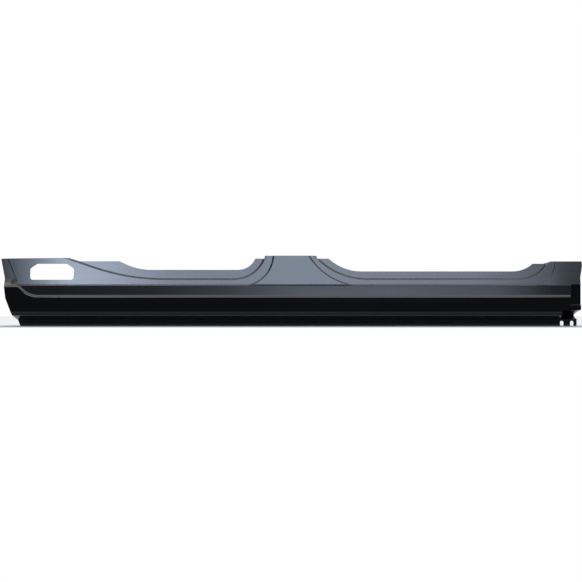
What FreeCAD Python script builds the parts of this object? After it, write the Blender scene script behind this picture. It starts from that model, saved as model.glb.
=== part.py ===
import FreeCAD, Part
import math
import os
import re

import Sketcher
from FreeCAD import Placement, Rotation, Vector

# Rocker panel: one sheet pressed as the outer sill of a four-door cab, with the feet of its three pillars.
# Millimetres and degrees. +X runs to the rear, -Y points outboard and +Z up.
# The origin is on the weld line of the pinch flange, on its inboard face, at mid length.
# The press form is modelled twice, up to the sheet's outer and inner surface, and the sheet lies between.

# Driving sizes. A height is measured from the one below it, so what stands above moves with it.
SIZES = {
    "thickness": 1.2,
    # pinch flange, underside and side face, from the bottom up
    "flange_drop": 11.0,
    "flange_height": 22.0,
    "bend_radius": 5.0,
    "underside_rise": 19.0,
    "side_depth": 96.0,
    "corner_radius": 16.0,
    "side_height": 66.0,
    "side_lean": 1.5,
    # shoulder ledge, and the band above it
    "ledge_depth": 5.5,
    "ledge_draft": 45.0,
    "band_height": 42.0,
    "band_lean": 5.5,
    "band_rim_radius": 3.0,
    "shoulder_rise": 34.0,
    "shoulder_sweep_x": -908.0,
    "shoulder_sweep_radius": 97.0,
    "shoulder_crown_radius": 18.0,
    # leaning face above the crease: pillars, rebate and sill flange
    "face_lean": 10.5,
    "rear_pillar_lean": 15.5,
    "rebate_depth": 12.0,
    "rebate_draft": 8.0,
    "rebate_tuck": 6.0,
    "step_band_height": 24.6,
    "sill_depth": 20.0,
    "sill_draft": 14.0,
    "rim_radius": 4.0,
    "foot_radius": 3.0,
    # front door opening: where its level foot ends, its corner radii and the slopes of its sides
    "front_sill_start": -455.0,
    "front_corner_radius": 790.0,
    "front_corner_slope": 19.1,
    "front_sill_end": -207.0,
    "centre_front_radius": 115.0,
    "centre_front_slope": 75.0,
    # rear door opening
    "rear_sill_start": 275.0,
    "centre_rear_radius": 245.0,
    "centre_rear_slope": 50.0,
    "rear_sill_end": 821.0,
    "rear_corner_radius": 120.0,
    "rear_corner_slope": 60.0,
    # outer line of the rebate, set off from the inner line at each pillar
    "centre_front_offset": 27.0,
    "centre_front_rebate_radius": 115.0,
    "centre_front_rebate_slope": 80.0,
    "centre_rear_offset": 12.0,
    "centre_rear_rebate_radius": 230.0,
    "centre_rear_rebate_slope": 58.0,
    "rear_offset": 42.0,
    "rear_rebate_radius": 90.0,
    "rear_rebate_slope": 85.0,
    # joggled flange at the front end, in two steps down from the pillar face
    "ridge_x": -972.0,
    "ridge_lean": 17.0,
    "ridge_depth": 6.0,
    "ridge_width": 12.0,
    "front_flange_lean": 22.9,
    "front_flange_depth": 9.0,
    "front_flange_draft": 20.0,
    "toe_tilt": 55.0,
    "toe_reach": 50.0,
    # joggled strip and raised drain corner at the rear end
    "strip_inset": 42.0,
    "strip_foot": 69.0,
    "strip_draft": 25.0,
    "strip_depth": 1.0,
    "drain_inset": 76.0,
    "drain_lip_depth": 18.0,
    "drain_lip_height": 14.0,
    "drain_crest_depth": 7.0,
    "drain_crest_height": 29.0,
    "drain_roof_rise": 25.0,
    # outline of the blank: its two ends
    "front_end": -1051.0,
    "front_waist_inset": 15.0,
    "front_waist_height": 165.0,
    "front_hip_inset": 24.0,
    "front_hip_height": 90.0,
    "front_toe_inset": 63.0,
    "rear_end": 1050.5,
    "rear_waist_inset": 8.0,
    "rear_waist_height": 165.0,
    "rear_bite_height": 31.0,
    "rear_bite_radius": 20.0,
    # outline of the blank: its top edges
    "front_pillar_top": 233.8,
    "front_pillar_peak": 236.5,
    "front_step_x": -806.0,
    "front_step_run": 40.0,
    "front_flange_top": 224.3,
    "centre_step_front": -96.5,
    "centre_step_rear": 93.5,
    "centre_pillar_top": 244.2,
    "centre_flange_top": 234.0,
    "rear_flange_top": 215.4,
    "rear_step_x": 914.0,
    "rear_step_run": 26.0,
    "rear_pillar_top": 223.4,
    "blank_radius": 3.0,
    # notches in the blank, along the door sills
    "front_notch_foot": 193.0,
    "front_notch_start": -505.0,
    "front_notch_start_radius": 225.0,
    "front_notch_start_slope": 25.0,
    "front_notch_end": -192.0,
    "front_notch_end_radius": 68.0,
    "front_notch_end_slope": 80.0,
    "rear_notch_foot": 187.5,
    "rear_notch_start": 255.0,
    "rear_notch_start_radius": 174.0,
    "rear_notch_start_slope": 40.0,
    "rear_notch_end": 803.0,
    "rear_notch_end_radius": 110.0,
    "rear_notch_end_slope": 45.0,
    # access hole in the front pillar's foot
    "hole_start": -941.4,
    "hole_length": 157.0,
    "hole_foot": 157.0,
    "hole_height": 57.5,
    "hole_cut_length": 25.0,
    "hole_cut_height": 17.0,
    "hole_radius": 10.0,
    # open slots in the rear end of the pinch flange
    "slot_width": 12.0,
    "slot_height": 18.5,
    "slot_pitch": 36.5,
    "slot_inset": 26.0,
}

# Places worked out from the driving sizes. The form runs past the blank on every side.
PLACES = {
    "edge_z": "-flange_drop",
    "bend_z": "flange_height - flange_drop",
    "corner_z": "bend_z + underside_rise",
    "shoulder_z": "corner_z + side_height",
    "crease_z": "shoulder_z + band_height",
    "form_low_z": "edge_z - 30",
    "form_start": "front_end - 40",
    "form_end": "rear_end + 40",
    "form_length": "form_end - form_start",
    "form_top": "centre_pillar_top - crease_z + 20",
    "back_y": "60",
    "flange_y": "-thickness",
    "side_y": "-side_depth",
    "shoulder_y": "side_y + side_height * tan(side_lean)",
    "side_top_y": "side_y + (crease_z - corner_z) * tan(side_lean)",
    "band_low_z": "shoulder_z - 20",
    "band_low_y": "shoulder_y + ledge_depth - 20 * tan(band_lean)",
    "crease_y": "shoulder_y + ledge_depth + band_height * tan(band_lean)",
    "band_back_z": "crease_z + (back_y - crease_y) * tan(rebate_draft)",
    "ledge_back_y": "crease_y + 8",
    "ledge_reach": "(ledge_back_y - shoulder_y) * tan(ledge_draft)",
    "ledge_z": "shoulder_z + ledge_reach",
    "ledge_top_z": "ledge_z + shoulder_rise",
    "ledge_roof_z": "ledge_top_z + 40",
    "ledge_crown_radius": "shoulder_crown_radius + ledge_reach",
    "ledge_sweep_radius": "shoulder_sweep_radius - ledge_reach",
    "slab_low": "-45",
    "slab_depth": "120",
    "slab_join": "rear_sill_end - 100",
    "rebate_foot": "rebate_depth * tan(face_lean + rebate_draft) - rebate_tuck",
    "sill_foot": "rebate_foot + rebate_tuck + step_band_height",
    "tub_top": "form_top + 20",
    "tub_low": "slab_low - 20",
    "sill_floor": "rebate_depth + sill_depth",
    "ridge_floor": "rebate_depth + ridge_depth",
    "front_flange_floor": "ridge_floor + front_flange_depth",
    "centre_front_rebate_x": "front_sill_end + centre_front_offset",
    "centre_rear_rebate_x": "rear_sill_start - centre_rear_offset",
    "rear_rebate_x": "rear_sill_end + rear_offset",
    "front_flange_x": "ridge_x - ridge_width",
    "beyond_start": "form_start - 20",
    "beyond_end": "form_end + 20",
    "trim_low_y": "crease_y - 60 * tan(band_lean)",
    "trim_low_z": "crease_z - 60",
    "trim_top_y": "crease_y + 40 * tan(band_lean)",
    "trim_top_z": "crease_z + 40",
    "outboard_y": "side_y - 30",
    "toe_y": "crease_y + toe_reach",
    "toe_z": "crease_z + toe_reach / tan(toe_tilt)",
    "toe_low_z": "crease_z - 15",
    "toe_low_y": "crease_y - 15 * tan(band_lean)",
    "strip_x": "rear_end - strip_inset",
    "drain_x": "rear_end - drain_inset",
    "drain_lip_y": "-drain_lip_depth",
    "drain_crest_y": "-drain_crest_depth",
    "drain_low_z": "-5",
    "drain_roof_z": "drain_crest_height + drain_roof_rise",
}
NAMES = set(SIZES) | set(PLACES)


def make_sheet(doc):
    """The spreadsheet that holds the driving sizes and the places worked out from them."""
    sheet = doc.addObject("Spreadsheet::Sheet", "Sizes")
    cells = [(name, str(number)) for name, number in SIZES.items()]
    cells += [(name, "=" + formula) for name, formula in PLACES.items()]
    for row, (name, content) in enumerate(cells, start=1):
        sheet.set(f"A{row}", name)
        sheet.set(f"B{row}", content)
        sheet.setAlias(f"B{row}", name)
    doc.recompute()
    return sheet


DOC = FreeCAD.newDocument("RockerPanel")
SHEET = make_sheet(DOC)


def size(name):
    """The present value of a cell."""
    return float(SHEET.get(name))


def link(formula):
    """The formula with each cell name pointing at the spreadsheet."""
    return re.sub(r"[a-z][a-z_]*", lambda word: "Sizes." + word[0] if word[0] in NAMES else word[0], formula)


def bind(target, prop, formula):
    """Bind a property to a formula of cell names."""
    target.setExpression(prop, link(formula))


def value(formula):
    """The present value of a formula of cell names."""
    return float(SHEET.evalExpression(formula))


def section_sketch(name, start):
    """A sketch across the panel at the given place in X: its x is the panel's Y, its y the panel's Z."""
    sketch = DOC.addObject("Sketcher::SketchObject", name)
    sketch.Placement = Placement(Vector(), Rotation(Vector(1, 1, 1), 120))
    bind(sketch, "Placement.Base.x", start)
    return sketch


def front_sketch(name, depth):
    """A sketch in an upright plane along the panel, at the given place in Y, seen from outboard."""
    sketch = DOC.addObject("Sketcher::SketchObject", name)
    sketch.Placement = Placement(Vector(), Rotation(Vector(1, 0, 0), 90))
    bind(sketch, "Placement.Base.y", depth)
    return sketch


def leaning_sketch(name, inboard, lean="face_lean"):
    """A sketch in a plane that leans back about the crease, set inboard of it. Its y runs up the face."""
    sketch = DOC.addObject("Sketcher::SketchObject", name)
    sketch.Placement = Placement(Vector(), Rotation(Vector(1, 0, 0), 90))
    bind(sketch, "Placement.Rotation.Angle", f"90 - {lean}")
    bind(sketch, "Placement.Base.y", f"crease_y + ({inboard}) * cos({lean})")
    bind(sketch, "Placement.Base.z", f"crease_z - ({inboard}) * sin({lean})")
    return sketch


def constrain(sketch, kind, refs, formula):
    """Add a dimension to a sketch and bind it to a formula."""
    present = math.radians(value(formula)) if kind == "Angle" else value(formula)
    index = sketch.addConstraint(Sketcher.Constraint(kind, *refs, present))
    bind(sketch, f"Constraints[{index}]", formula)


def pin_point(sketch, geometry, end, x_formula=None, y_formula=None):
    """Tie one end of a line or arc to places along the sketch's axes."""
    for kind, formula in (("DistanceX", x_formula), ("DistanceY", y_formula)):
        if formula:
            constrain(sketch, kind, (-1, 1, geometry, end), formula)


def join(sketch, kind, pairs):
    """Join pairs of line or arc ends, each as (geometry, end, geometry, end)."""
    for refs in pairs:
        sketch.addConstraint(Sketcher.Constraint(kind, *refs))


def polygon(sketch, corners):
    """A closed outline of straight edges through corners, each a pair of formulas."""
    points = [Vector(value(x), value(y), 0) for x, y in corners]
    count = len(points)
    for index, start in enumerate(points):
        sketch.addGeometry(Part.LineSegment(start, points[(index + 1) % count]))
    join(sketch, "Coincident", [(index, 2, (index + 1) % count, 1) for index in range(count)])
    for index, (x_formula, y_formula) in enumerate(corners):
        pin_point(sketch, index, 1, x_formula, y_formula)
    return sketch


def arc(centre, radius, start, end):
    """A circular arc between two angles in degrees, counter-clockwise."""
    circle = Part.Circle(centre, Vector(0, 0, 1), radius)
    return Part.ArcOfCircle(circle, math.radians(start), math.radians(end))


def opening(sketch, foot, top, front, rear, grow="0"):
    """A door opening's outline: a level foot, and a corner arc and straight side at each end.

    Each end is the place where the foot's level line stops, the corner's radius and the side's slope.
    """
    floor, ceiling = value(f"{foot} - {grow}"), value(top)
    (start_x, start_radius, start_slope), (end_x, end_radius, end_slope) = (
        [value(formula) for formula in corner] for corner in (front, rear))
    start_arc = arc(Vector(start_x, floor + start_radius, 0), start_radius, 270 - start_slope, 270)
    end_arc = arc(Vector(end_x, floor + end_radius, 0), end_radius, 270, 270 + end_slope)
    low_start, low_end = start_arc.StartPoint, end_arc.EndPoint
    top_start = Vector(low_start.x - (ceiling - low_start.y) / math.tan(math.radians(start_slope)), ceiling, 0)
    top_end = Vector(low_end.x + (ceiling - low_end.y) / math.tan(math.radians(end_slope)), ceiling, 0)
    sketch.addGeometry(Part.LineSegment(Vector(start_x, floor, 0), Vector(end_x, floor, 0)))
    sketch.addGeometry(end_arc)
    sketch.addGeometry(Part.LineSegment(low_end, top_end))
    sketch.addGeometry(Part.LineSegment(top_end, top_start))
    sketch.addGeometry(Part.LineSegment(top_start, low_start))
    sketch.addGeometry(start_arc)
    join(sketch, "Tangent", [(0, 2, 1, 1), (1, 2, 2, 1), (4, 2, 5, 1), (5, 2, 0, 1)])
    join(sketch, "Coincident", [(2, 2, 3, 1), (3, 2, 4, 1)])
    join(sketch, "Horizontal", [(0,), (3,)])
    pin_point(sketch, 0, 1, front[0], f"{foot} - {grow}")
    pin_point(sketch, 0, 2, rear[0])
    pin_point(sketch, 3, 1, None, top)
    for index, (_, radius, slope) in ((1, rear), (5, front)):
        constrain(sketch, "Radius", (index,), f"{radius} + {grow}")
        constrain(sketch, "Angle", (index,), slope)
    return sketch


def extrude(base, length, draft=None, inward=False):
    """A solid from an outline, along its normal or against it, its walls spreading by the draft."""
    solid = DOC.addObject("Part::Extrusion", base.Name + "Body")
    solid.Base = base
    solid.DirMode = "Normal"
    solid.Solid = True
    solid.Reversed = inward
    bind(solid, "LengthFwd", length)
    if draft:
        bind(solid, "TaperAngle", draft)
    return solid


def shrink(outline, inset, sign="-"):
    """The outline moved in by the inset, or out with a plus sign: its twin for the sheet's inner surface."""
    if inset == "0":
        return outline
    twin = DOC.addObject("Part::Offset2D", outline.Name + "Inner")
    twin.Source = outline
    twin.Join = "Intersection"
    bind(twin, "Value", f"{sign}{inset}")
    return twin


def cut(name, base, tool):
    """What is left of a body outside a tool."""
    remainder = DOC.addObject("Part::Cut", name)
    remainder.Base = base
    remainder.Tool = tool
    return remainder


def fuse(name, bodies):
    """Several bodies as one."""
    union = DOC.addObject("Part::MultiFuse", name)
    union.Shapes = bodies
    union.Refine = True
    return union


def is_sharp(shape, edge):
    """Whether the two faces beside an edge meet at more than ten degrees."""
    middle = edge.valueAt((edge.FirstParameter + edge.LastParameter) / 2)
    faces = shape.ancestorsOfType(edge, Part.Face)
    normals = [face.normalAt(*face.Surface.parameter(middle)) for face in faces]
    return len(normals) == 2 and math.degrees(normals[0].getAngle(normals[1])) > 10


def rim_edges(shape, plane, limit):
    """Numbers of the sharp edges that lie in a sketch's plane, without the form's own outer boundary."""
    to_plane = plane.Placement.inverse()
    low, high = size("slab_low") + 2, size("form_top") - 2
    start, end = size("form_start") + 2, size(limit) - 2
    chosen = []
    for number, edge in enumerate(shape.Edges, start=1):
        points = [to_plane.multVec(vertex.Point) for vertex in edge.Vertexes]
        flat = all(abs(point.z) < 1e-3 for point in points)
        inner = max(point.y for point in points) > low and min(point.y for point in points) < high
        between = max(point.x for point in points) > start and min(point.x for point in points) < end
        if flat and inner and between and is_sharp(shape, edge):
            chosen.append(number)
    return chosen


def round_rims(name, body, plane, radius, limit="form_end"):
    """Round the sharp edges of a body that lie in a sketch's plane, as far along as the limit."""
    DOC.recompute()
    rounded = DOC.addObject("Part::Fillet", name)
    rounded.Base = body
    rounded.Edges = [(number, radius, radius) for number in rim_edges(body.Shape, plane, limit)]
    return rounded


def nearest_edge(shape, y, z):
    """Number of the lengthwise edge nearest to a place in a cross-section."""
    def gap(number):
        ends = shape.Edges[number - 1].Vertexes
        return max(math.hypot(end.Point.y - y, end.Point.z - z) for end in ends)
    return min(range(1, len(shape.Edges) + 1), key=gap)


def round_corners(name, body, corners):
    """Round a profile's corners, each given by its place in Y and Z and its radius."""
    DOC.recompute()
    rounded = DOC.addObject("Part::Fillet", name)
    rounded.Base = body
    rounded.Edges = [(nearest_edge(body.Shape, y, z), radius, radius) for y, z, radius in corners]
    return rounded


def round_posts(name, body, radius):
    """Round every edge of a body that runs straight through the panel."""
    DOC.recompute()
    through = Vector(0, 1, 0)
    posts = []
    for number, edge in enumerate(body.Shape.Edges, start=1):
        ends = [vertex.Point for vertex in edge.Vertexes]
        if len(ends) == 2 and (ends[1] - ends[0]).cross(through).Length < 1e-6:
            posts.append((number, radius, radius))
    rounded = DOC.addObject("Part::Fillet", name)
    rounded.Base = body
    rounded.Edges = posts
    return rounded


def spread(draft, inset):
    """How far the foot line of a drafted wall moves out when the form's surface moves in by the inset."""
    return f"{inset} * (1 / cos({draft}) - tan({draft}))"


SIDE = [("back_y", "form_low_z"), ("flange_y", "form_low_z"), ("flange_y", "bend_z"), ("side_y", "corner_z"),
        ("side_top_y", "crease_z"), ("back_y", "crease_z")]
BAND = [("back_y", "band_low_z"), ("band_low_y", "band_low_z"), ("crease_y", "crease_z"),
        ("back_y", "band_back_z")]
TRIM = [("trim_top_y", "trim_top_z"), ("trim_low_y", "trim_low_z"), ("outboard_y", "trim_low_z"),
        ("outboard_y", "trim_top_z")]
TOE = [("crease_y", "crease_z"), ("toe_y", "toe_z"), ("toe_y", "toe_low_z"), ("toe_low_y", "toe_low_z")]
DRAIN = [("drain_lip_y", "drain_low_z"), ("drain_lip_y", "drain_lip_height"),
         ("drain_crest_y", "drain_crest_height"), ("outboard_y", "drain_roof_z"),
         ("outboard_y", "drain_low_z")]
FRONT_REBATE = (("beyond_start", "50", "60"),
                ("centre_front_rebate_x", "centre_front_rebate_radius", "centre_front_rebate_slope"))
REAR_REBATE = (("centre_rear_rebate_x", "centre_rear_rebate_radius", "centre_rear_rebate_slope"),
               ("rear_rebate_x", "rear_rebate_radius", "rear_rebate_slope"))
FRONT_SILL = (("front_sill_start", "front_corner_radius", "front_corner_slope"),
              ("front_sill_end", "centre_front_radius", "centre_front_slope"))
REAR_SILL = (("rear_sill_start", "centre_rear_radius", "centre_rear_slope"),
             ("rear_sill_end", "rear_corner_radius", "rear_corner_slope"))
FRONT_NOTCH = (("front_notch_start", "front_notch_start_radius", "front_notch_start_slope"),
               ("front_notch_end", "front_notch_end_radius", "front_notch_end_slope"))
REAR_NOTCH = (("rear_notch_start", "rear_notch_start_radius", "rear_notch_start_slope"),
              ("rear_notch_end", "rear_notch_end_radius", "rear_notch_end_slope"))


def prism(name, corners, start, length, inset="0", sign="-"):
    """A body with one section along the panel, its section moved in by the inset."""
    body = extrude(shrink(polygon(section_sketch(name, start), corners), inset, sign), length)
    body.DirMode = "Custom"
    body.Dir = Vector(1, 0, 0)
    return body


def ledge_outline(sketch, inset):
    """The region above the shoulder, which sweeps up at the front end in two tangent arcs."""
    grow = spread("ledge_draft", inset)
    low, high = f"ledge_z - {grow}", f"ledge_top_z - {grow}"
    crown, sweep = f"ledge_crown_radius - {grow}", f"ledge_sweep_radius + {grow}"
    reach = value(crown) + value(sweep)
    turn = math.degrees(math.acos(1 - (value(high) - value(low)) / reach))
    sweep_x, start, end = size("shoulder_sweep_x"), size("beyond_start"), size("beyond_end")
    crown_x = sweep_x - reach * math.sin(math.radians(turn))
    roof = size("ledge_roof_z")
    crown_arc = arc(Vector(crown_x, value(high) - value(crown), 0), value(crown), 90 - turn, 90)
    sweep_arc = arc(Vector(sweep_x, value(low) + value(sweep), 0), value(sweep), 270 - turn, 270)
    corners = [Vector(sweep_x, value(low), 0), Vector(end, value(low), 0), Vector(end, roof, 0),
               Vector(start, roof, 0), Vector(start, value(high), 0), Vector(crown_x, value(high), 0)]
    sketch.addGeometry(crown_arc)
    sketch.addGeometry(sweep_arc)
    for first, second in zip(corners, corners[1:]):
        sketch.addGeometry(Part.LineSegment(first, second))
    join(sketch, "Tangent", [(0, 1, 1, 1), (1, 2, 2, 1), (6, 2, 0, 2)])
    join(sketch, "Coincident", [(2, 2, 3, 1), (3, 2, 4, 1), (4, 2, 5, 1), (5, 2, 6, 1)])
    join(sketch, "Horizontal", [(2,), (6,)])
    constrain(sketch, "Radius", (0,), crown)
    constrain(sketch, "Radius", (1,), sweep)
    pin_point(sketch, 2, 1, "shoulder_sweep_x", low)
    pin_point(sketch, 3, 1, "beyond_end", None)
    pin_point(sketch, 4, 1, "beyond_end", "ledge_roof_z")
    pin_point(sketch, 5, 1, "beyond_start", "ledge_roof_z")
    pin_point(sketch, 6, 1, "beyond_start", high)
    return sketch


def lower_form(side, inset):
    """Pinch flange, underside, side face and band, up to the crease."""
    panel = prism(f"{side}Side", SIDE, "form_start", "form_length", inset)
    bends = [(size("flange_y"), size("bend_z"), size("bend_radius") + value(inset)),
             (size("side_y"), size("corner_z"), size("corner_radius") - value(inset))]
    panel = round_corners(f"{side}SideBent", panel, bends)
    ledge = ledge_outline(front_sketch(f"{side}Ledge", f"ledge_back_y + {inset}"), inset)
    panel = cut(f"{side}Shoulder", panel, extrude(ledge, "22", "ledge_draft"))
    band = prism(f"{side}Band", BAND, "form_start", "form_length", inset)
    rim = [(size("crease_y"), size("crease_z"), size("band_rim_radius") - value(inset))]
    return [panel, round_corners(f"{side}BandRim", band, rim)]


def tub(name, depth, foot, ends, draft, inset):
    """A tool that presses a door opening in to a depth, with a rounded foot; and its floor's sketch."""
    floor = leaning_sketch(name, f"{depth} + {inset}")
    opening(floor, foot, "tub_top", *ends, spread(draft, inset))
    tool = extrude(floor, f"{depth} + 40", draft)
    return floor, round_rims(f"{name}Foot", tool, floor, size("foot_radius") + value(inset))


def end_tub(name, depth, foot_x, lean, draft, inset):
    """A tool that presses the front end in to a depth, as far as a wall that leans forward."""
    floor = leaning_sketch(name, f"{depth} + {inset}")
    wall = f"{foot_x} + {spread(draft, inset)} / cos({lean})"
    polygon(floor, [("beyond_start", "tub_low"), (wall, "tub_low"), (wall, "0"),
                    (f"{wall} - tub_top * tan({lean})", "tub_top"), ("beyond_start", "tub_top")])
    return extrude(floor, f"{depth} + 40", draft)


def pillar_slab(name, lean, start, end, inset):
    """The body behind a leaning face, before any opening is pressed in; and the face's sketch."""
    face = leaning_sketch(name, inset, lean)
    polygon(face, [(start, "slab_low"), (end, "slab_low"), (end, "form_top"), (start, "form_top")])
    return face, extrude(face, "slab_depth", inward=True)


def upper_form(side, inset):
    """Pillar feet, rebates and sill flanges, down to the crease."""
    rim = size("rim_radius") - value(inset)
    floor, front_rebate = tub(f"{side}FrontRebate", "rebate_depth", "rebate_foot", FRONT_REBATE,
                              "rebate_draft", inset)
    rear_rebate = tub(f"{side}RearRebate", "rebate_depth", "rebate_foot", REAR_REBATE,
                      "rebate_draft", inset)[1]
    rebates = fuse(f"{side}Rebates", [front_rebate, rear_rebate])
    face, centre = pillar_slab(f"{side}Face", "face_lean", "form_start", "slab_join", inset)
    centre = round_rims(f"{side}CentreRims", cut(f"{side}Centre", centre, rebates), face, rim, "slab_join")
    rear = pillar_slab(f"{side}RearFace", "rear_pillar_lean", "slab_join", "form_end", inset)[1]
    rear = cut(f"{side}Rear", rear, rear_rebate)
    pillars = fuse(f"{side}Pillars", [centre, rear])
    sills = [tub(f"{side}{place}Sill", "sill_floor", "sill_foot", ends, "sill_draft", inset)[1]
             for place, ends in (("Front", FRONT_SILL), ("Rear", REAR_SILL))]
    pillars = cut(f"{side}Sills", pillars, fuse(f"{side}SillTools", sills))
    pillars = round_rims(f"{side}SillRims", pillars, floor, rim)
    ridge = end_tub(f"{side}Ridge", "ridge_floor", "ridge_x", "ridge_lean", "rebate_draft", inset)
    flange = end_tub(f"{side}FrontFlange", "front_flange_floor", "front_flange_x", "front_flange_lean",
                     "front_flange_draft", inset)
    trim = prism(f"{side}Trim", TRIM, "beyond_start", "form_length + 40", inset, "+")
    return cut(f"{side}Upper", pillars, fuse(f"{side}UpperTools", [ridge, flange, trim]))


def press_form(side, inset):
    """The whole form, up to one surface of the sheet."""
    toe = prism(f"{side}Toe", TOE, "form_start", f"front_flange_x - form_start - {inset}", inset)
    body = fuse(f"{side}Body", lower_form(side, inset) + [upper_form(side, inset), toe])
    strip = front_sketch(f"{side}Strip", f"crease_y + strip_depth + {inset}")
    grow = spread("strip_draft", inset)
    start, foot = f"strip_x - {grow}", f"strip_foot - {grow}"
    polygon(strip, [(start, foot), ("beyond_end", foot), ("beyond_end", "trim_top_z"), (start, "trim_top_z")])
    drain = prism(f"{side}Drain", DRAIN, f"drain_x - {inset}", f"beyond_end - drain_x + {inset}", inset, "+")
    return cut(side, body, fuse(f"{side}EndTools", [extrude(strip, "40", "strip_draft"), drain]))


def through_body(sketch):
    """A body that runs through the whole panel behind an outline."""
    return extrude(sketch, "5 - outboard_y")


def blank():
    """The outline the sheet is trimmed to, notched along the door sills."""
    outline = polygon(front_sketch("Blank", "5"), [
        ("front_end + front_toe_inset", "edge_z"),
        ("rear_end - rear_waist_inset", "edge_z"),
        ("rear_end - rear_waist_inset", "rear_waist_height"),
        ("rear_end", "rear_waist_height + 40"),
        ("rear_end", "rear_pillar_top"),
        ("rear_step_x + rear_step_run", "rear_pillar_top"),
        ("rear_step_x", "rear_flange_top"),
        ("rear_notch_start + 200", "rear_flange_top"),
        ("rear_notch_start + 200", "centre_flange_top"),
        ("centre_step_rear", "centre_flange_top"),
        ("centre_step_rear", "centre_pillar_top"),
        ("centre_step_front", "centre_pillar_top"),
        ("centre_step_front", "centre_flange_top"),
        ("front_notch_end - 200", "centre_flange_top"),
        ("front_notch_end - 200", "front_flange_top"),
        ("front_step_x + front_step_run", "front_flange_top"),
        ("front_step_x", "front_pillar_peak"),
        ("front_end", "front_pillar_top"),
        ("front_end + front_waist_inset", "front_waist_height"),
        ("front_end + front_hip_inset", "front_hip_height"),
    ])
    body = round_posts("BlankRounded", through_body(outline), size("blank_radius"))
    top = "centre_pillar_top + 20"
    notches = [through_body(opening(front_sketch(f"{place}Notch", "5"), foot, top, *ends))
               for place, foot, ends in (("Front", "front_notch_foot", FRONT_NOTCH),
                                         ("Rear", "rear_notch_foot", REAR_NOTCH))]
    return cut("BlankNotched", body, fuse("Notches", notches))


def piercings():
    """Punches for the access hole, the two slots and the bite in the rear edge."""
    end, top = "hole_start + hole_length", "hole_foot + hole_height"
    shoulder = f"{top} - hole_cut_height"
    hole = polygon(front_sketch("AccessHole", "5"), [
        ("hole_start", "hole_foot"), (end, "hole_foot"), (end, shoulder), (f"{end} - hole_cut_length", top),
        ("hole_start + hole_cut_length", top), ("hole_start", shoulder)])
    punches = [round_posts("AccessHoleRounded", through_body(hole), size("hole_radius"))]
    for name, middle in (("RearSlot", "rear_end - slot_inset"),
                         ("FrontSlot", "rear_end - slot_inset - slot_pitch")):
        start, stop = f"{middle} - slot_width / 2", f"{middle} + slot_width / 2"
        slot = polygon(front_sketch(name, "5"), [
            (start, "edge_z - 15"), (stop, "edge_z - 15"), (stop, "edge_z + slot_height"),
            (start, "edge_z + slot_height")])
        punches.append(round_posts(f"{name}Rounded", through_body(slot), 0.48 * size("slot_width")))
    bite = front_sketch("Bite", "5")
    bite.addGeometry(Part.Circle(Vector(size("rear_end"), size("rear_bite_height"), 0), Vector(0, 0, 1), 10))
    pin_point(bite, 0, 3, "rear_end", "rear_bite_height")
    constrain(bite, "Radius", (0,), "rear_bite_radius")
    return fuse("Piercings", punches + [through_body(bite)])


def check_objects():
    """Stop if any object failed or has a broken shape."""
    for item in DOC.Objects:
        if {"Invalid", "Error"} & set(item.State):
            raise RuntimeError(f"{item.Name} failed: {item.State}")
        if hasattr(item, "Shape") and (item.Shape.isNull() or not item.Shape.isValid()):
            raise RuntimeError(f"{item.Name} has a broken shape")


def build():
    """Model the sheet, trim and pierce it, and write it out."""
    sheet = cut("Sheet", press_form("Outer", "0"), press_form("Inner", "thickness"))
    trimmed = DOC.addObject("Part::Common", "Trimmed")
    trimmed.Base = sheet
    trimmed.Tool = blank()
    panel = cut("Panel", trimmed, piercings())
    panel.Label = "rocker_panel"
    DOC.recompute()
    check_objects()
    if len(panel.Shape.Solids) != 1:
        raise RuntimeError(f"the panel came out in {len(panel.Shape.Solids)} pieces")
    os.makedirs("parts", exist_ok=True)
    panel.Shape.Solids[0].exportStep(f"parts/{panel.Label}.step")


build()
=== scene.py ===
"""Looks, light and camera for the outer rocker panel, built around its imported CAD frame."""
import logging
import math
from dataclasses import dataclass
from enum import Enum
from typing import Any

import bmesh
import bpy
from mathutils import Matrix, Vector


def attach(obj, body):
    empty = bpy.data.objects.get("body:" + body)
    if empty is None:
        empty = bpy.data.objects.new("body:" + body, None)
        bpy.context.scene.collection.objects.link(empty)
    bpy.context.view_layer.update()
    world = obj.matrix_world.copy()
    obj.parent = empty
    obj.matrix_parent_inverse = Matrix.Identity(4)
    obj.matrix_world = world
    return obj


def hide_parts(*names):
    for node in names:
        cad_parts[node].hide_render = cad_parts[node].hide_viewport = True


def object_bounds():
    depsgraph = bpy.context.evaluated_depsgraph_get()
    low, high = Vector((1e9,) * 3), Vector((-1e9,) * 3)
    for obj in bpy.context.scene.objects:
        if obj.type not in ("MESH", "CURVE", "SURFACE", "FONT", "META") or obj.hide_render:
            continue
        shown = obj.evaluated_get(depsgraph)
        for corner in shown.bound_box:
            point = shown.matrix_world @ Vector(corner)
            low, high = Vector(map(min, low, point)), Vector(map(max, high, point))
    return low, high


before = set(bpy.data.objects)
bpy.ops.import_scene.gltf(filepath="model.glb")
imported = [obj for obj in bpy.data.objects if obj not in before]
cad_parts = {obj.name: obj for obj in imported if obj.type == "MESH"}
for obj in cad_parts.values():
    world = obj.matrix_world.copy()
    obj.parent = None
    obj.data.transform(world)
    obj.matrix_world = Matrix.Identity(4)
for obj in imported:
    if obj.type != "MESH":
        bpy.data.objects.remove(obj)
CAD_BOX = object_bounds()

LOG = logging.getLogger("rocker_panel")
MM = 0.001
NODE = "rocker_panel"
SHEARED_ATTRIBUTE = "sheared_edge"


class Side(Enum):
    """A side of the sheet, with the sign of Y that its faces look towards."""

    OUTER = -1
    INNER = 1


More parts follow.
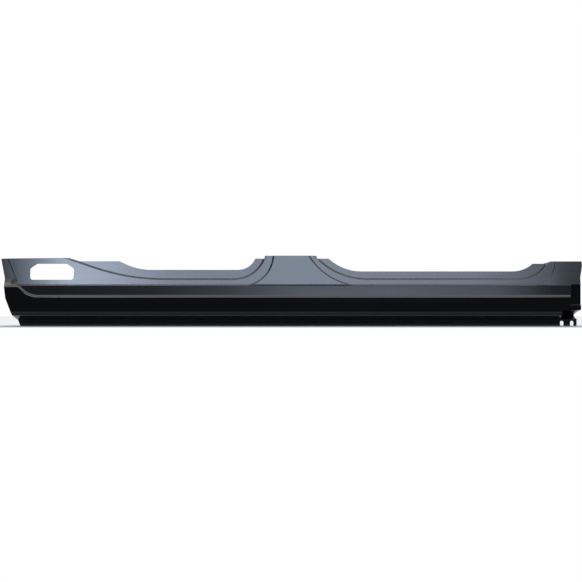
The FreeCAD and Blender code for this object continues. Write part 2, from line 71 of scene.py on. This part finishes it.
def linear(code: str) -> tuple[float, float, float, float]:
    """Turn an sRGB hex colour into linear light.

    Args:
        code: Six hex digits.

    Returns:
        Linear red, green, blue and an alpha of 1.
    """
    parts = [int(code[start:start + 2], 16) / 255 for start in (0, 2, 4)]
    red, green, blue = [
        part / 12.92 if part <= 0.04045 else ((part + 0.055) / 1.055) ** 2.4 for part in parts
    ]
    return red, green, blue, 1.0


def add_node(
    tree: bpy.types.NodeTree, kind: str, inputs: dict[Any, Any] | None = None, **settings: Any
) -> bpy.types.Node:
    """Add one node with its settings and links.

    Args:
        tree: Node tree that gets the node.
        kind: Blender's name for the node type.
        inputs: Value or linked output socket for each input, by name or number.
        **settings: Properties of the node itself.

    Returns:
        The new node.
    """
    node = tree.nodes.new(kind)
    for name, setting in settings.items():
        setattr(node, name, setting)
    for key, given in (inputs or {}).items():
        if isinstance(given, bpy.types.NodeSocket):
            tree.links.new(given, node.inputs[key])
        else:
            node.inputs[key].default_value = given
    return node


def empty_tree(owner: Any) -> bpy.types.NodeTree:
    """Give a material, world or lamp an empty node tree.

    Args:
        owner: The material, world or lamp.

    Returns:
        Its node tree, with no nodes.
    """
    owner.use_nodes = True
    owner.node_tree.nodes.clear()
    return owner.node_tree


@dataclass(frozen=True)
class BlackElectrocoat:
    """Black electrocoat, baked over pressed steel: a smooth dipped film about 25 microns thick.

    To the eye it is near black with a clear, slightly soft mirror over it, a faint orange
    peel, long shallow waves of the sheet under it, and a duller, greyer line on sheared rims,
    where the film draws back in the oven and where a painted highlight is laid as well. Real
    orange peel is 2 to 4 mm across. It is drawn at 11 mm, so that it can show in the render.
    """

    name: str = "black_electrocoat_over_pressed_steel"
    deep: str = "060608"
    pale: str = "0b0b0e"
    # Colour of the sheared rims: greyer where the film is thin, and also a painted highlight
    # along them.
    rim_and_sheen: str = "3a3c42"
    film_ior: float = 1.42
    film_roughness: float = 0.07
    film_spread: tuple[float, float] = (-0.02, 0.03)
    steel_roughness: float = 0.13
    steel_spread: tuple[float, float] = (-0.03, 0.04)
    rim_roughness: float = 0.42
    under_film_gloss: float = 0.10
    peel_mm: float = 11.0
    peel_depth_mm: float = 0.006
    peel_detail: float = 1.0
    wave_mm: float = 210.0
    wave_depth_mm: float = 0.10
    wave_detail: float = 3.0
    draw_mark_mm: float = 26.0
    draw_mark_stretch: float = 0.06
    draw_mark_detail: float = 4.0
    draw_mark_range: tuple[float, float] = (0.3, 0.7)

    def build(self) -> bpy.types.Material:
        """Make the material.

        Returns:
            The material, read on Object coordinates.
        """
        material = bpy.data.materials.new(self.name)
        tree = empty_tree(material)
        place = add_node(tree, "ShaderNodeTexCoord").outputs["Object"]
        # 1 on sheared rims: it sets their roughness and their greyer colour, which is partly a
        #                    painted highlight.
        rim_and_sheen = add_node(
            tree, "ShaderNodeAttribute", attribute_name=SHEARED_ATTRIBUTE
        ).outputs["Fac"]
        cloud = add_node(
            tree, "ShaderNodeTexNoise",
            {"Vector": place, "Scale": 1 / (self.wave_mm * MM), "Detail": self.wave_detail},
        ).outputs["Fac"]
        along = add_node(
            tree, "ShaderNodeMapping",
            {"Vector": place, "Scale": (self.draw_mark_stretch, 1.0, 1.0)},
        ).outputs["Vector"]
        marks = add_node(
            tree, "ShaderNodeTexNoise",
            {"Vector": along, "Scale": 1 / (self.draw_mark_mm * MM),
             "Detail": self.draw_mark_detail},
        ).outputs["Fac"]
        film = self._marked(tree, marks, self.film_roughness, self.film_spread)
        steel = self._marked(tree, marks, self.steel_roughness, self.steel_spread)
        roughness = add_node(
            tree, "ShaderNodeMapRange",
            {"Value": rim_and_sheen, "To Min": steel, "To Max": self.rim_roughness},
        ).outputs["Result"]
        skin = self._skin(tree, place, cloud)
        shader = add_node(
            tree, "ShaderNodeBsdfPrincipled",
            {"Base Color": self._colour(tree, cloud, rim_and_sheen), "Roughness": roughness,
             "IOR": self.film_ior, "Specular IOR Level": self.under_film_gloss,
             "Coat Weight": 1.0, "Coat Roughness": film, "Coat IOR": self.film_ior,
             "Normal": skin, "Coat Normal": skin},
        )
        add_node(tree, "ShaderNodeOutputMaterial", {"Surface": shader.outputs["BSDF"]})
        return material

    def _colour(
        self, tree: bpy.types.NodeTree, cloud: bpy.types.NodeSocket, rim_and_sheen: bpy.types.NodeSocket
    ) -> bpy.types.NodeSocket:
        """Cloud the film's black a little, and lay the greyer rim over it.

        Args:
            tree: The material's node tree.
            cloud: Noise as wide as the sheet's waves.
            rim_and_sheen: 1 on sheared rims, 0 elsewhere.

        Returns:
            The colour socket.
        """
        ramp = add_node(tree, "ShaderNodeValToRGB", {"Fac": cloud})
        ramp.color_ramp.elements[0].color = linear(self.deep)
        ramp.color_ramp.elements[1].color = linear(self.pale)
        # Sheared rims get the greyer colour: thinner film there, and a painted highlight along
        # the rims.
        mix = add_node(
            tree, "ShaderNodeMix", {0: rim_and_sheen, 6: ramp.outputs["Color"], 7: linear(self.rim_and_sheen)},
            data_type="RGBA",
        )
        return mix.outputs[2]

    def _marked(
        self, tree: bpy.types.NodeTree, marks: bpy.types.NodeSocket, middle: float,
        spread: tuple[float, float],
    ) -> bpy.types.NodeSocket:
        """Let a roughness follow the draw marks.

        Args:
            tree: The material's node tree.
            marks: Noise stretched along the panel.
            middle: The roughness without marks.
            spread: How far it goes down and up from there.

        Returns:
            The roughness socket.
        """
        start, end = self.draw_mark_range
        return add_node(
            tree, "ShaderNodeMapRange",
            {"Value": marks, "From Min": start, "From Max": end,
             "To Min": middle + spread[0], "To Max": middle + spread[1]},
        ).outputs["Result"]

    def _skin(
        self, tree: bpy.types.NodeTree, place: bpy.types.NodeSocket,
        cloud: bpy.types.NodeSocket,
    ) -> bpy.types.NodeSocket:
        """Bump the surface with the sheet's waves and the film's orange peel.

        Args:
            tree: The material's node tree.
            place: Object coordinates.
            cloud: Noise as wide as the sheet's waves.

        Returns:
            The normal socket.
        """
        waves = add_node(
            tree, "ShaderNodeBump",
            {"Height": cloud, "Distance": self.wave_depth_mm * MM, "Strength": 1.0},
        ).outputs["Normal"]
        peel = add_node(
            tree, "ShaderNodeTexNoise",
            {"Vector": place, "Scale": 1 / (self.peel_mm * MM), "Detail": self.peel_detail},
        ).outputs["Fac"]
        return add_node(
            tree, "ShaderNodeBump",
            {"Height": peel, "Distance": self.peel_depth_mm * MM, "Normal": waves},
        ).outputs["Normal"]


@dataclass(frozen=True)
class PaleFloor:
    """Matt white seamless studio paper.

    To the eye it is even and nearly white, with a soft shadow close around the panel's foot.
    That shadow is partly the lamps' real shadow and partly a painted shadow: the glow is
    turned down there.
    It glows to the camera and in gloss alone, so its glow lights nothing.
    """

    name: str = "matt_white_paper"
    tone: str = "e0e0e2"
    roughness: float = 0.9
    # Glow close around the panel's foot, kept low as a painted shadow.
    painted_shadow_glow: float = 0.02
    far_glow: float = 0.62
    painted_shadow_reach: float = 0.22
    foot_centre: tuple[float, float, float] = (0.0, -0.06, 0.0)
    foot_reach: tuple[float, float, float] = (0.98, 0.05, 10.0)

    def build(self) -> bpy.types.Material:
        """Make the material.

        Returns:
            The material.
        """
        material = bpy.data.materials.new(self.name)
        tree = empty_tree(material)
        path = add_node(tree, "ShaderNodeLightPath").outputs
        seen = path["Is Camera Ray"]
        for ray in ("Is Glossy Ray", "Is Transmission Ray"):
            seen = add_node(
                tree, "ShaderNodeMath", {0: seen, 1: path[ray]}, operation="MAXIMUM"
            ).outputs[0]
        # Painted shadow: the glow is turned down close around the panel's foot, over the lamps'
        # real shadow there, so the floor and its reflection in the panel read darker.
        glow = add_node(
            tree, "ShaderNodeMapRange",
            {"Value": self._from_foot(tree), "From Min": 0.0, "From Max": self.painted_shadow_reach,
             "To Min": self.painted_shadow_glow, "To Max": self.far_glow},
            interpolation_type="SMOOTHSTEP",
        )
        lift = add_node(
            tree, "ShaderNodeMath", {0: seen, 1: glow.outputs["Result"]}, operation="MULTIPLY"
        )
        shader = add_node(
            tree, "ShaderNodeBsdfPrincipled",
            {"Base Color": linear(self.tone), "Roughness": self.roughness,
             "Specular IOR Level": 0.0, "Emission Color": (1.0, 1.0, 1.0, 1.0),
             "Emission Strength": lift.outputs[0]},
        )
        add_node(tree, "ShaderNodeOutputMaterial", {"Surface": shader.outputs["BSDF"]})
        return material

    def _from_foot(self, tree: bpy.types.NodeTree) -> bpy.types.NodeSocket:
        """Measure how far a place on the floor is from the oblong under the panel.

        Args:
            tree: The material's node tree.

        Returns:
            The socket of the distance in metres, 0 inside the oblong.
        """
        away = add_node(tree, "ShaderNodeTexCoord").outputs["Object"]
        for operation, by in (
            ("SUBTRACT", {1: self.foot_centre}), ("ABSOLUTE", {}),
            ("SUBTRACT", {1: self.foot_reach}), ("MAXIMUM", {1: (0.0, 0.0, 0.0)}),
        ):
            away = add_node(
                tree, "ShaderNodeVectorMath", {0: away, **by}, operation=operation
            ).outputs["Vector"]
        return add_node(
            tree, "ShaderNodeVectorMath", {0: away}, operation="LENGTH"
        ).outputs["Value"]


@dataclass(frozen=True)
class CornerLine:
    """One corner line that the die bends over a radius.

    Its heights are in millimetres over the weld line, its angles in degrees, above zero on a
    ridge. It lies further out than its depth, and edges shorter than its shortest are left.
    """

    name: str
    side: Side
    reach: float
    heights: tuple[float, float]
    angles: tuple[float, float]
    segments: int = 3
    depth: float = -78 * MM
    shortest: float = 1.5 * MM

    def holds(self, edge: bmesh.types.BMEdge) -> bool:
        """Tell whether an edge of the mesh is part of this corner line.

        Args:
            edge: The edge.

        Returns:
            True where it is.
        """
        if len(edge.link_faces) != 2 or edge.calc_length() < self.shortest:
            return False
        low, high = self.heights
        if any(not low * MM < vert.co.z < high * MM or vert.co.y > self.depth
               for vert in edge.verts):
            return False
        angle = math.degrees(edge.calc_face_angle_signed())
        facing = self.side.value * sum(face.normal.y for face in edge.link_faces)
        return facing > 0 and self.angles[0] < angle < self.angles[1]

    def round_off(self, shape: bmesh.types.BMesh) -> None:
        """Give the corner line its radius.

        Args:
            shape: The panel.
        """
        edges = [edge for edge in shape.edges if self.holds(edge)]
        before = len(shape.faces)
        bmesh.ops.bevel(
            shape, geom=edges, offset=self.reach, offset_type="OFFSET",
            segments=self.segments, profile=0.5, affect="EDGES", clamp_overlap=False,
            material=-1,
        )
        LOG.info("%s: %d edges, %d new faces", self.name, len(edges), len(shape.faces) - before)


@dataclass(frozen=True)
class SoftCrease:
    """The long crease over the leaning band, where the sheet bends softly.

    It lies at one level, between two places along the panel, and only what is further out than
    its depth is bent. The face over it and the band under it lean by the two angles.
    """

    level: float = 138.0 * MM
    half_width: float = 6.0 * MM
    run: tuple[float, float] = (-0.980, 0.950)
    depth: float = -70.0 * MM
    face_lean: float = math.radians(10.5)
    band_lean: float = math.radians(5.5)
    cuts: tuple[float, ...] = (-1.0, -0.5, 0.0, 0.5, 1.0)

    def soften(self, shape: bmesh.types.BMesh, merge_reach: float) -> None:
        """Bend the sheet gently over the crease, both of its sides alike.

        Args:
            shape: The panel.
            merge_reach: How near to a cut a vertex is taken to lie on it.
        """
        for part in self.cuts:
            bmesh.ops.bisect_plane(
                shape, geom=[*shape.verts, *shape.edges, *shape.faces], dist=merge_reach,
                plane_co=(0.0, 0.0, self.level + part * self.half_width),
                plane_no=(0.0, 0.0, 1.0),
            )
        bend = math.tan(self.face_lean) - math.tan(self.band_lean)
        start, end = self.run
        for vert in shape.verts:
            inside = self.half_width - abs(vert.co.z - self.level)
            if inside > 0 and start < vert.co.x < end and vert.co.y < self.depth:
                # A parabola that meets the face and the band without a kink.
                vert.co.y += bend * inside ** 2 / (4 * self.half_width)


@dataclass
class PressedPanel:
    """The rocker panel's one stamping.

    The CAD gives its shape. Here its shoulder and crease get the bends that a die gives them,
    and the faces that the trim die sheared are marked for the finish.
    """

    name: str = "pressed_panel"
    sheet: float = 1.2 * MM
    corner_lines: tuple[CornerLine, ...] = (
        CornerLine("shoulder_outer", Side.OUTER, 3.2 * MM, (84, 125), (30, 130)),
        CornerLine("shoulder_inner", Side.INNER, 2.0 * MM, (84, 125), (-130, -30)),
    )
    crease: SoftCrease = SoftCrease()
    merge_reach: float = 0.005 * MM
    flat_angle: float = math.radians(0.3)
    rim_angle: float = math.radians(60)
    rim_slack: float = 1.6
    shade_angle: float = math.radians(32)

    def build(self) -> bpy.types.Object:
        """Make the panel's mesh and object.

        Returns:
            The object, without its finish.
        """
        shape = bmesh.new()
        shape.from_mesh(bpy.data.objects[NODE].data)
        bmesh.ops.remove_doubles(shape, verts=shape.verts, dist=self.merge_reach)
        bmesh.ops.dissolve_limit(
            shape, angle_limit=self.flat_angle, verts=shape.verts, edges=shape.edges
        )
        for line in self.corner_lines:
            line.round_off(shape)
        self.crease.soften(shape, self.merge_reach)
        bmesh.ops.dissolve_degenerate(shape, dist=self.merge_reach, edges=shape.edges)
        self._mark_rims(shape)
        for face in shape.faces:
            face.smooth = True
        for edge in shape.edges:
            edge.smooth = len(edge.link_faces) == 2 and edge.calc_face_angle() < self.shade_angle
        mesh = bpy.data.meshes.new(self.name)
        shape.to_mesh(mesh)
        shape.free()
        panel = bpy.data.objects.new(self.name, mesh)
        bpy.context.scene.collection.objects.link(panel)
        shading = panel.modifiers.new("even_shading", "WEIGHTED_NORMAL")
        shading.keep_sharp = True
        return panel

    def dress(self, panel: bpy.types.Object) -> None:
        """Give the built panel its finish."""
        panel.data.materials.append(BlackElectrocoat().build())

    def _is_rim(self, face: bmesh.types.BMFace) -> bool:
        """Tell whether a face is part of the sheared rim, which is as wide as the sheet.

        Args:
            face: The face.

        Returns:
            True where it is.
        """
        sharp = [edge for edge in face.edges
                 if len(edge.link_faces) == 2 and edge.calc_face_angle() > self.rim_angle]
        if len(sharp) < 2:
            return False
        longest = max(edge.calc_length() for edge in face.edges)
        return face.calc_area() < self.rim_slack * self.sheet * longest

    def _mark_rims(self, shape: bmesh.types.BMesh) -> None:
        """Write 1 on each face of the sheared rims, for the finish to read.

        Args:
            shape: The panel.
        """
        layer = shape.faces.layers.float.new(SHEARED_ATTRIBUTE)
        for face in shape.faces:
            if self._is_rim(face):
                face[layer] = 1.0


@dataclass(frozen=True)
class SoftBox:
    """One wide upright soft box that hangs over the camera and faces the panel.

    Its run gives places along it, from 0 at the left to 1, each with its share of the glow.
    """

    name: str
    foot: float
    top: float
    glow: float
    run: tuple[tuple[float, float], ...]
    width: float = 4.4
    distance: float = 3.2
    aim_height: float = 0.1
    tint: str = "d7e6ff"

    def build(self) -> bpy.types.Object:
        """Hang the soft box.

        Returns:
            The lamp's object.
        """
        lamp = bpy.data.lights.new(self.name, "AREA")
        lamp.shape = "RECTANGLE"
        lamp.size = self.width
        lamp.size_y = self.top - self.foot
        lamp.energy = self.glow * math.pi * self.width * (self.top - self.foot)
        self._shade(empty_tree(lamp))
        box = bpy.data.objects.new(self.name, lamp)
        box.location = (0.0, -self.distance, (self.foot + self.top) / 2)
        aim = Vector((0.0, 0.0, self.aim_height)) - box.location
        box.rotation_euler = aim.to_track_quat("-Z", "Y").to_euler()
        box.visible_camera = False
        bpy.context.scene.collection.objects.link(box)
        return box

    def _shade(self, tree: bpy.types.NodeTree) -> None:
        """Let the glow follow the run.

        Args:
            tree: The lamp's node tree.
        """
        across = add_node(tree, "ShaderNodeNewGeometry").outputs["Parametric"]
        split = add_node(tree, "ShaderNodeSeparateXYZ", {"Vector": across})
        ramp = add_node(tree, "ShaderNodeValToRGB", {"Fac": split.outputs["X"]})
        stops = ramp.color_ramp.elements
        red, green, blue, _ = linear(self.tint)
        last = len(self.run) - 1
        for number, (place, share) in enumerate(self.run):
            stop = stops.new(place) if 0 < number < last else stops[-1 if number else 0]
            stop.position = place
            stop.color = (red * share, green * share, blue * share, 1.0)
        shader = add_node(tree, "ShaderNodeEmission", {"Color": ramp.outputs["Color"]})
        add_node(tree, "ShaderNodeOutputLight", {"Surface": shader.outputs["Emission"]})


@dataclass(frozen=True)
class Wall:
    """One side of the studio, as the panel's gloss shows it.

    Its glow runs softly from first to last while the direction's part along one axis goes from
    start to end.
    """

    name: str
    axis: str
    start: float
    end: float
    first: float
    last: float


@dataclass
class Studio:
    """The plain pale studio around the panel, in metres."""

    photo_pixels: int = 582
    pixel: float = 3.62 * MM
    camera_distance: float = 6.0
    camera_height: float = 116.4 * MM
    sensor: float = 36.0
    view_end: float = 50.0
    panel_front: float = 0.05
    floor_drop: float = 0.4 * MM
    floor_reach: tuple[float, float] = (2.4, 1.3)
    floor_centre: float = 1.0
    fill: float = 0.27
    dark_glow: float = 0.075
    walls: tuple[Wall, ...] = (
        Wall("beside the camera", "Y", -0.93, -0.72, 0.0, 0.28),
        Wall("floor far in front", "Z", -0.25, -0.07, 0.55, 0.0),
        Wall("ceiling", "Z", 0.42, 0.85, 0.0, 2.1),
        Wall("white backdrop", "Y", 0.15, 0.55, 0.0, 1.0),
    )
    soft_boxes: tuple[SoftBox, ...] = (
        SoftBox(
            "high_soft_box", 1.19, 1.74, 10.6,
            ((0.0, 0.05), (0.13, 0.13), (0.17, 0.6), (0.21, 1.45), (0.26, 1.25), (0.34, 0.78),
             (0.42, 0.72), (0.51, 0.8), (0.74, 0.62), (0.82, 0.35), (0.87, 0.12), (1.0, 0.08)),
        ),
        SoftBox(
            "upper_soft_box", 1.74, 2.4, 3.2,
            ((0.0, 0.1), (0.14, 0.3), (0.22, 1.0), (0.5, 1.0), (0.8, 1.7), (0.84, 1.0),
             (0.862, 0.3), (1.0, 0.1)),
        ),
        SoftBox(
            "low_soft_box", 0.57, 0.83, 3.8,
            ((0.0, 0.0), (0.2, 0.06), (0.33, 0.15), (0.42, 0.4), (0.5, 0.9), (0.62, 1.0),
             (0.76, 0.7), (0.83, 0.1), (1.0, 0.0)),
        ),
    )

    def build_floor(self) -> bpy.types.Object:
        """Lay the floor under the panel.

        Returns:
            The floor.
        """
        level = CAD_BOX[0][2] - self.floor_drop
        shape = bmesh.new()
        bmesh.ops.create_grid(shape, x_segments=1, y_segments=1, size=1.0)
        bmesh.ops.scale(shape, vec=(*self.floor_reach, 1.0), verts=shape.verts)
        bmesh.ops.translate(shape, vec=(0.0, self.floor_centre, level), verts=shape.verts)
        mesh = bpy.data.meshes.new("floor")
        shape.to_mesh(mesh)
        shape.free()
        mesh.materials.append(PaleFloor().build())
        floor = bpy.data.objects.new("floor", mesh)
        bpy.context.scene.collection.objects.link(floor)
        return floor

    def build_camera(self) -> bpy.types.Object:
        """Set the camera square on to the panel, as in the photograph.

        Returns:
            The camera.
        """
        data = bpy.data.cameras.new("camera")
        half_width = self.photo_pixels * self.pixel / 2
        data.sensor_width = self.sensor
        data.lens = self.sensor / 2 * (self.camera_distance - self.panel_front) / half_width
        data.clip_end = self.view_end
        camera = bpy.data.objects.new("camera", data)
        camera.location = (0.0, -self.camera_distance, self.camera_height)
        camera.rotation_euler = (math.pi / 2, 0.0, 0.0)
        bpy.context.scene.collection.objects.link(camera)
        bpy.context.scene.camera = camera
        return camera

    def build_world(self) -> bpy.types.World:
        """Light the studio: white to the camera, its walls in gloss, an even fill elsewhere.

        Returns:
            The world.
        """
        world = bpy.data.worlds.new("studio")
        bpy.context.scene.world = world
        tree = empty_tree(world)
        toward = add_node(tree, "ShaderNodeTexCoord").outputs["Generated"]
        split = add_node(tree, "ShaderNodeSeparateXYZ", {"Vector": toward})
        room: Any = self.dark_glow
        for wall in self.walls:
            glow = add_node(
                tree, "ShaderNodeMapRange",
                {"Value": split.outputs[wall.axis], "From Min": wall.start,
                 "From Max": wall.end, "To Min": wall.first, "To Max": wall.last},
                interpolation_type="SMOOTHSTEP",
            )
            room = add_node(
                tree, "ShaderNodeMath", {0: glow.outputs["Result"], 1: room},
                operation="MAXIMUM",
            ).outputs[0]
        path = add_node(tree, "ShaderNodeLightPath").outputs
        strength = room
        for ray, glow_there in (("Is Diffuse Ray", self.fill), ("Is Camera Ray", 1.0)):
            strength = add_node(
                tree, "ShaderNodeMapRange",
                {"Value": path[ray], "To Min": strength, "To Max": glow_there},
            ).outputs["Result"]
        shader = add_node(
            tree, "ShaderNodeBackground",
            {"Color": (1.0, 1.0, 1.0, 1.0), "Strength": strength},
        )
        add_node(tree, "ShaderNodeOutputWorld", {"Surface": shader.outputs["Background"]})
        # Without importance sampling the light path tests above hold for every ray.
        world.cycles.sampling_method = "NONE"
        return world


def main() -> None:
    """Build the panel and the studio around it."""
    logging.basicConfig(level=logging.INFO, format="%(name)s: %(message)s")
    stamping = PressedPanel()
    panel = stamping.build()
    stamping.dress(panel)
    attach(panel, "root")
    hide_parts(NODE)
    LOG.info("%s: %d faces", panel.name, len(panel.data.polygons))
    studio = Studio()
    studio.build_floor()
    studio.build_world()
    for box in studio.soft_boxes:
        LOG.info("%s: hung at %.2f m", box.name, box.build().location.z)
    studio.build_camera()
    bpy.context.scene.view_settings.view_transform = "Standard"
    LOG.info("studio: floor, %d walls and camera", len(studio.walls))


if __name__ == "__main__":
    main()
